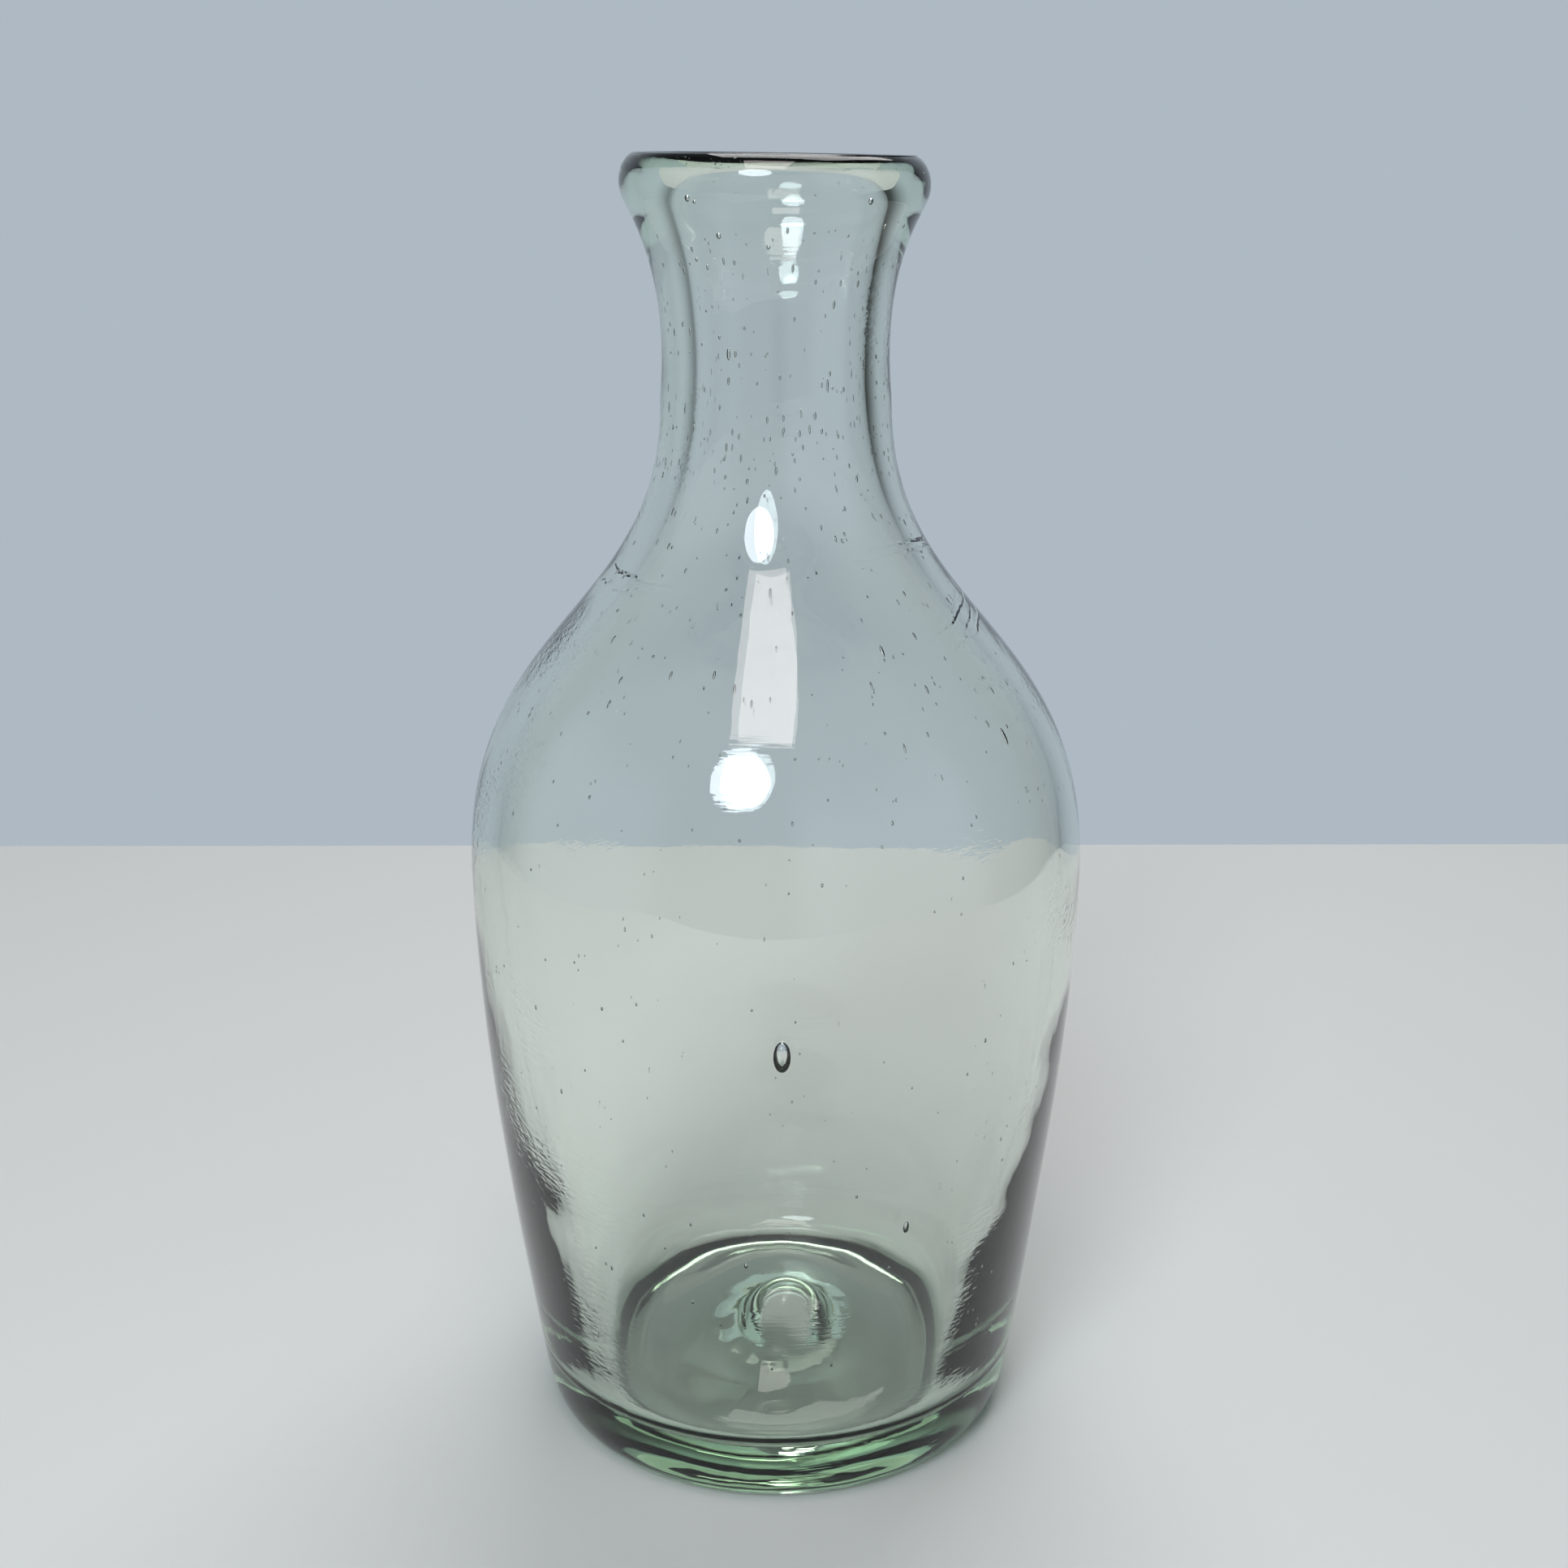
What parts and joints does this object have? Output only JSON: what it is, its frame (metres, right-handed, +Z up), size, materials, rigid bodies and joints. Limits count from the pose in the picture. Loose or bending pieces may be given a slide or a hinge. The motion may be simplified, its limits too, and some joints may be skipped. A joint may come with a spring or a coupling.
{
  "type": "glass bottle",
  "caption": "Hand-blown open glass bottle with a flared rounded lip, waisted neck, round shoulder and pushed-up base, of the kind baited as a wasp trap.",
  "frame": {"origin": "centre of the ring that the bottle stands on, at table height", "axes": "+Z up along the bottle's axis, from the base towards the lip; the bottle is round, so +X and +Y are free"},
  "size_m": [0.1244, 0.1244, 0.26],
  "materials": {
    "blown_glass": "fire-polished, clear with a faint green tint and seed bubbles"
  },
  "bodies": {
    "root": {"bottle": "blown_glass"}
  },
  "joints": []
}
